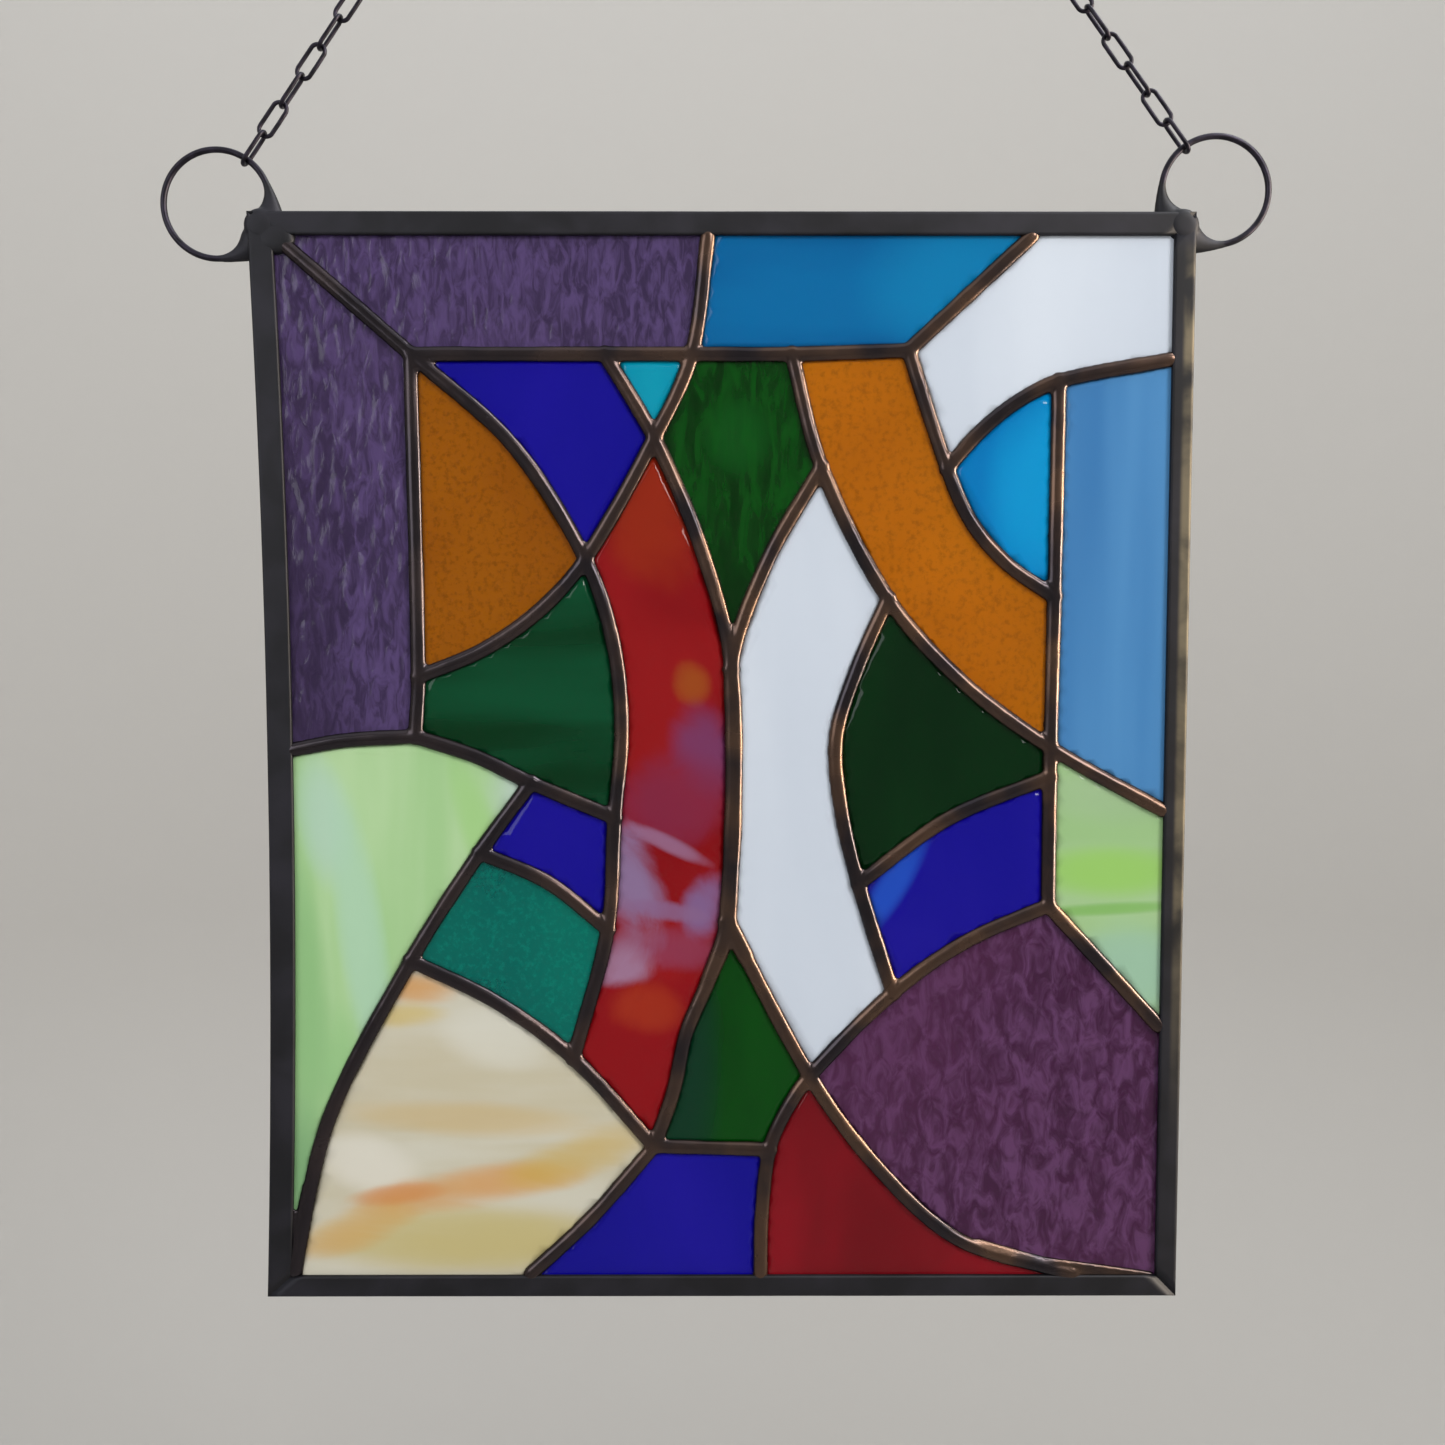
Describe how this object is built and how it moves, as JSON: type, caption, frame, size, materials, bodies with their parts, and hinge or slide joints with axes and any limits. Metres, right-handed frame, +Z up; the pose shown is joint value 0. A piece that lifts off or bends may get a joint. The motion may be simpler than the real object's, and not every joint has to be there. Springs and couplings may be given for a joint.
{
  "type": "stained glass window",
  "caption": "Rectangular stained glass panel: coloured glass in soldered seams and a mitred metal came, with a wire ring on each upper corner and a chain to hang it by.",
  "frame": {"origin": "where the hook bears: under the upper side of the link at the top of the chain", "axes": "+Z up, +X to the right seen from the front, the front face looks towards -Y"},
  "size_m": [0.2937, 0.0063, 0.4799],
  "materials": {
    "amber_left_glass": "coloured sheet glass, lightly rippled",
    "amber_right_glass": "coloured sheet glass, lightly rippled",
    "cerulean_top_glass": "opalescent sheet glass, fire-polished",
    "cobalt_foot_glass": "coloured sheet glass, lightly rippled",
    "cobalt_left_glass": "coloured sheet glass, lightly rippled",
    "cobalt_right_glass": "coloured sheet glass, lightly rippled",
    "cobalt_top_glass": "coloured sheet glass, lightly rippled",
    "cream_glass": "opalescent sheet glass, fire-polished",
    "green_foot_glass": "coloured sheet glass, lightly rippled",
    "green_left_glass": "coloured sheet glass, lightly rippled",
    "green_right_glass": "coloured sheet glass, lightly rippled",
    "green_top_glass": "coloured sheet glass, lightly rippled",
    "pale_blue_right_glass": "opalescent sheet glass, fire-polished",
    "pale_green_left_glass": "opalescent sheet glass, fire-polished",
    "pale_green_right_glass": "opalescent sheet glass, fire-polished",
    "plum_glass": "coloured sheet glass, lightly rippled",
    "purple_left_glass": "coloured sheet glass, lightly rippled",
    "purple_top_glass": "coloured sheet glass, lightly rippled",
    "red_band_glass": "coloured sheet glass, lightly rippled",
    "red_foot_glass": "coloured sheet glass, lightly rippled",
    "sky_quarter_glass": "coloured sheet glass, lightly rippled",
    "teal_glass": "coloured sheet glass, lightly rippled",
    "turquoise_tip_glass": "coloured sheet glass, lightly rippled",
    "white_band_glass": "opalescent sheet glass, fire-polished",
    "white_top_glass": "opalescent sheet glass, fire-polished",
    "solder": "soft solder with a dark copper-brown patina, worn bright on its crowns",
    "came": "metal came with a charcoal patina",
    "wire": "steel wire with a purplish black patina"
  },
  "bodies": {
    "root": {"came_bottom": "came", "came_left": "came", "came_right": "came", "came_top": "came", "chain_left": "wire", "chain_right": "wire", "glass_amber_left": "amber_left_glass", "glass_amber_right": "amber_right_glass", "glass_cerulean_top": "cerulean_top_glass", "glass_cobalt_foot": "cobalt_foot_glass", "glass_cobalt_left": "cobalt_left_glass", "glass_cobalt_right": "cobalt_right_glass", "glass_cobalt_top": "cobalt_top_glass", "glass_cream": "cream_glass", "glass_green_foot": "green_foot_glass", "glass_green_left": "green_left_glass", "glass_green_right": "green_right_glass", "glass_green_top": "green_top_glass", "glass_pale_blue_right": "pale_blue_right_glass", "glass_pale_green_left": "pale_green_left_glass", "glass_pale_green_right": "pale_green_right_glass", "glass_plum": "plum_glass", "glass_purple_left": "purple_left_glass", "glass_purple_top": "purple_top_glass", "glass_red_band": "red_band_glass", "glass_red_foot": "red_foot_glass", "glass_sky_quarter": "sky_quarter_glass", "glass_teal": "teal_glass", "glass_turquoise_tip": "turquoise_tip_glass", "glass_white_band": "white_band_glass", "glass_white_top": "white_top_glass", "ring_left": "wire", "ring_right": "wire", "solder_seams": "solder", "top_link": "wire"}
  },
  "joints": []
}
